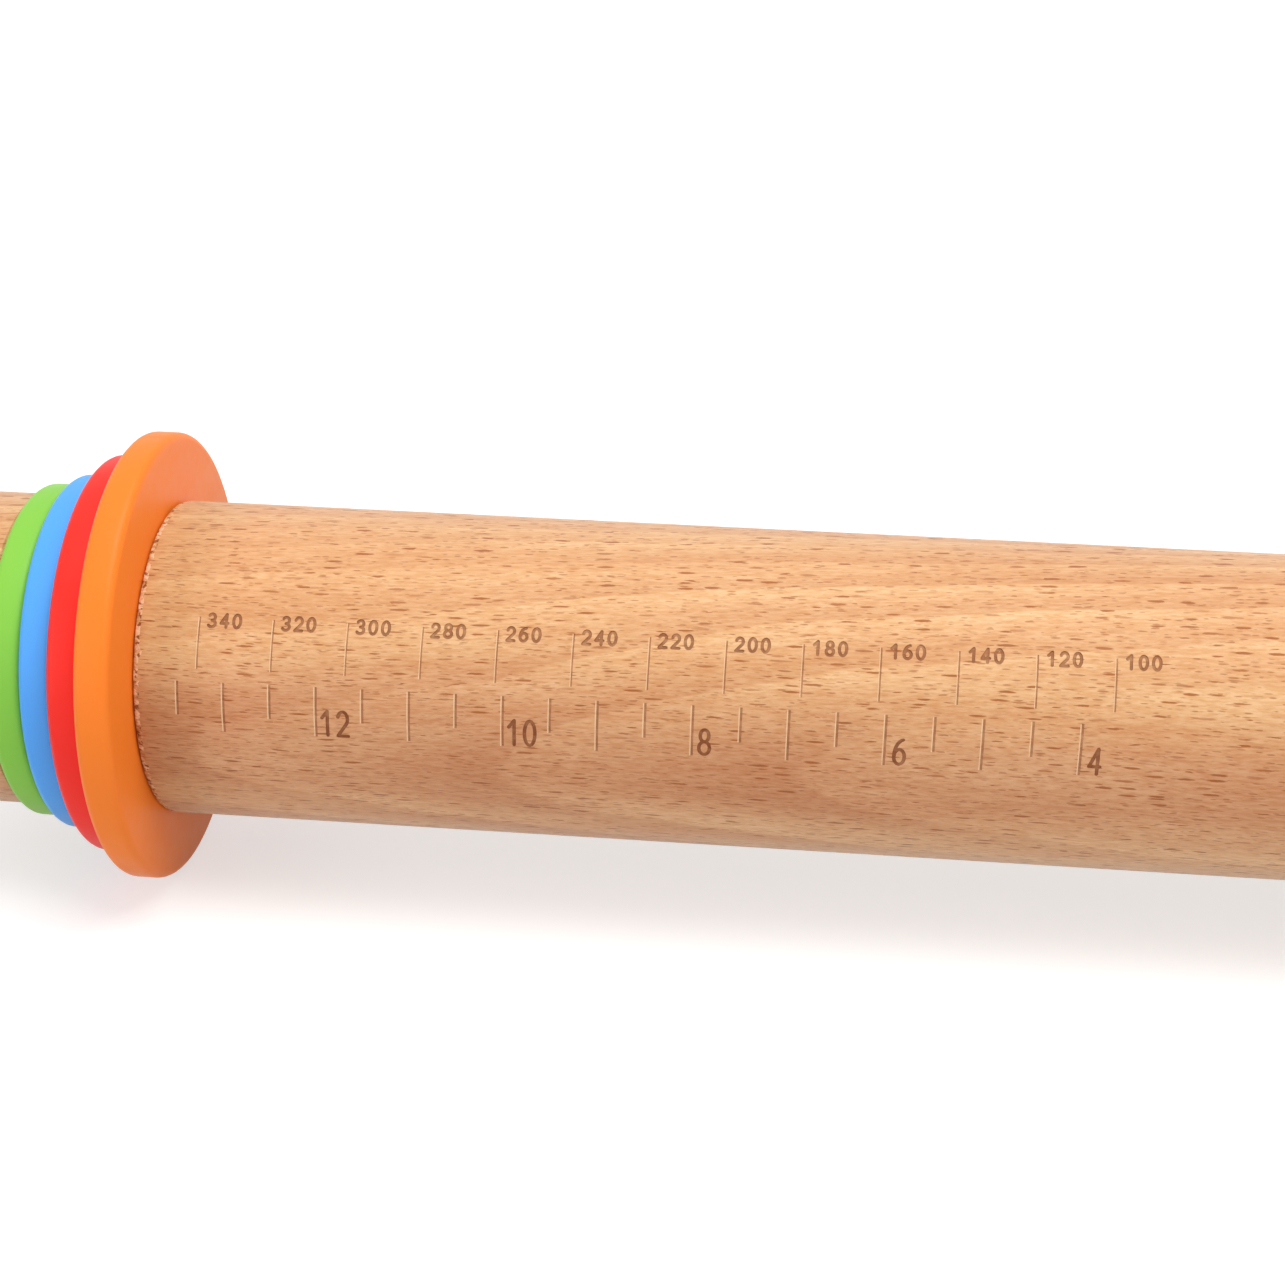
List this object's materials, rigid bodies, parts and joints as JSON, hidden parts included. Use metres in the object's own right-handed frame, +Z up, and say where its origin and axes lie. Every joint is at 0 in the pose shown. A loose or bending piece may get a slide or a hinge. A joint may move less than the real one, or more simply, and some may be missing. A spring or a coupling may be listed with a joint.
{
  "type": "adjustable rolling pin",
  "caption": "Beech rolling pin with removable coloured thickness rings clamped by screw-on end caps, and dough size scales engraved round the roller.",
  "frame": {"origin": "middle of the roller, on the pin's axis", "axes": "+X along the pin's axis towards the right end, +Z up"},
  "size_m": [0.429, 0.0634, 0.0634],
  "materials": {
    "beech": "smooth turned beech, oiled, matt, with short dark flecks",
    "orange_plastic": "moulded, matt",
    "red_plastic": "moulded, matt",
    "blue_plastic": "moulded, matt",
    "green_plastic": "moulded, matt",
    "screw_plastic": "moulded nylon, satin",
    "insert_plastic": "moulded nylon, satin"
  },
  "bodies": {
    "roller": {"roller": "beech", "left_threaded_insert": "insert_plastic", "right_threaded_insert": "insert_plastic"},
    "left_orange_ring": {"left_orange_ring": "orange_plastic"},
    "left_red_ring": {"left_red_ring": "red_plastic"},
    "left_blue_ring": {"left_blue_ring": "blue_plastic"},
    "left_green_ring": {"left_green_ring": "green_plastic"},
    "left_cap": {"left_end_screw": "screw_plastic", "left_end_cap": "beech"},
    "right_orange_ring": {"right_orange_ring": "orange_plastic"},
    "right_red_ring": {"right_red_ring": "red_plastic"},
    "right_blue_ring": {"right_blue_ring": "blue_plastic"},
    "right_green_ring": {"right_green_ring": "green_plastic"},
    "right_cap": {"right_end_screw": "screw_plastic", "right_end_cap": "beech"}
  },
  "joints": [
    {"name": "left_orange_slide", "type": "slide", "parent": "roller", "child": "left_orange_ring", "axis": [-1, 0, 0], "range_m": [0, 0.006]},
    {"name": "left_red_slide", "type": "slide", "parent": "roller", "child": "left_red_ring", "axis": [-1, 0, 0], "range_m": [0, 0.012]},
    {"name": "left_blue_slide", "type": "slide", "parent": "roller", "child": "left_blue_ring", "axis": [-1, 0, 0], "range_m": [0, 0.018]},
    {"name": "left_green_slide", "type": "slide", "parent": "roller", "child": "left_green_ring", "axis": [-1, 0, 0], "range_m": [0, 0.024]},
    {"name": "left_cap_turn", "type": "hinge", "parent": "left_green_ring", "child": "left_cap", "pos_m": [-0.1985, 0, 0], "axis": [-1, 0, 0], "range_deg": [0, 2160]},
    {"name": "right_orange_slide", "type": "slide", "parent": "roller", "child": "right_orange_ring", "axis": [1, 0, 0], "range_m": [0, 0.006]},
    {"name": "right_red_slide", "type": "slide", "parent": "roller", "child": "right_red_ring", "axis": [1, 0, 0], "range_m": [0, 0.012]},
    {"name": "right_blue_slide", "type": "slide", "parent": "roller", "child": "right_blue_ring", "axis": [1, 0, 0], "range_m": [0, 0.018]},
    {"name": "right_green_slide", "type": "slide", "parent": "roller", "child": "right_green_ring", "axis": [1, 0, 0], "range_m": [0, 0.024]},
    {"name": "right_cap_turn", "type": "hinge", "parent": "right_green_ring", "child": "right_cap", "pos_m": [0.1985, 0, 0], "axis": [1, 0, 0], "range_deg": [0, 2160]}
  ],
  "couplings": [
    {"joint": "left_orange_slide", "follows": "left_cap_turn", "m_per_rad": 0.00015915},
    {"joint": "left_red_slide", "follows": "left_cap_turn", "m_per_rad": 0.00031831},
    {"joint": "left_blue_slide", "follows": "left_cap_turn", "m_per_rad": 0.00047746},
    {"joint": "left_green_slide", "follows": "left_cap_turn", "m_per_rad": 0.00063661},
    {"joint": "right_orange_slide", "follows": "right_cap_turn", "m_per_rad": 0.00015915},
    {"joint": "right_red_slide", "follows": "right_cap_turn", "m_per_rad": 0.00031831},
    {"joint": "right_blue_slide", "follows": "right_cap_turn", "m_per_rad": 0.00047746},
    {"joint": "right_green_slide", "follows": "right_cap_turn", "m_per_rad": 0.00063661}
  ]
}
